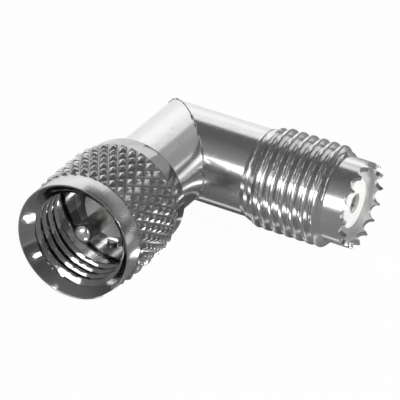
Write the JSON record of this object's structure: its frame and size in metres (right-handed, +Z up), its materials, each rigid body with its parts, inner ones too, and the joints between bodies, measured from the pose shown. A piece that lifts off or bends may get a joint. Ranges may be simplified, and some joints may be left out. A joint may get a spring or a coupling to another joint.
{
  "type": "right-angle coax adapter",
  "caption": "Right-angle coax adapter: a knurled, freely turning coupling nut with a centre pin on one arm and a threaded jack with a serrated rim on the other.",
  "frame": {"origin": "centre of the plug's mating plane, where the centre pin leaves its insulator", "axes": "-Y out of the plug's mouth along its pin, +X out of the jack along its axis, +Z up with the elbow lying flat"},
  "size_m": [0.0242, 0.0258, 0.0116],
  "materials": {
    "plated_body": "bright nickel plate",
    "plated_nut": "bright nickel plate",
    "solder": "dull bright solder",
    "spring_metal": "spring bronze, plain",
    "insulator": "white, waxy",
    "plated_contact": "bright plate"
  },
  "bodies": {
    "elbow": {"plug_body": "plated_body", "jack_body": "plated_body", "solder_ring": "solder", "retaining_ring": "spring_metal", "plug_insulator": "insulator", "plug_pin": "plated_contact", "jack_insulator": "insulator", "jack_contact": "plated_contact"},
    "nut": {"coupling_nut": "plated_nut"}
  },
  "joints": [
    {"name": "nut_spin", "type": "hinge", "parent": "elbow", "child": "nut", "pos_m": [0, 0, 0], "axis": [0, 1, 0], "continuous": true}
  ]
}
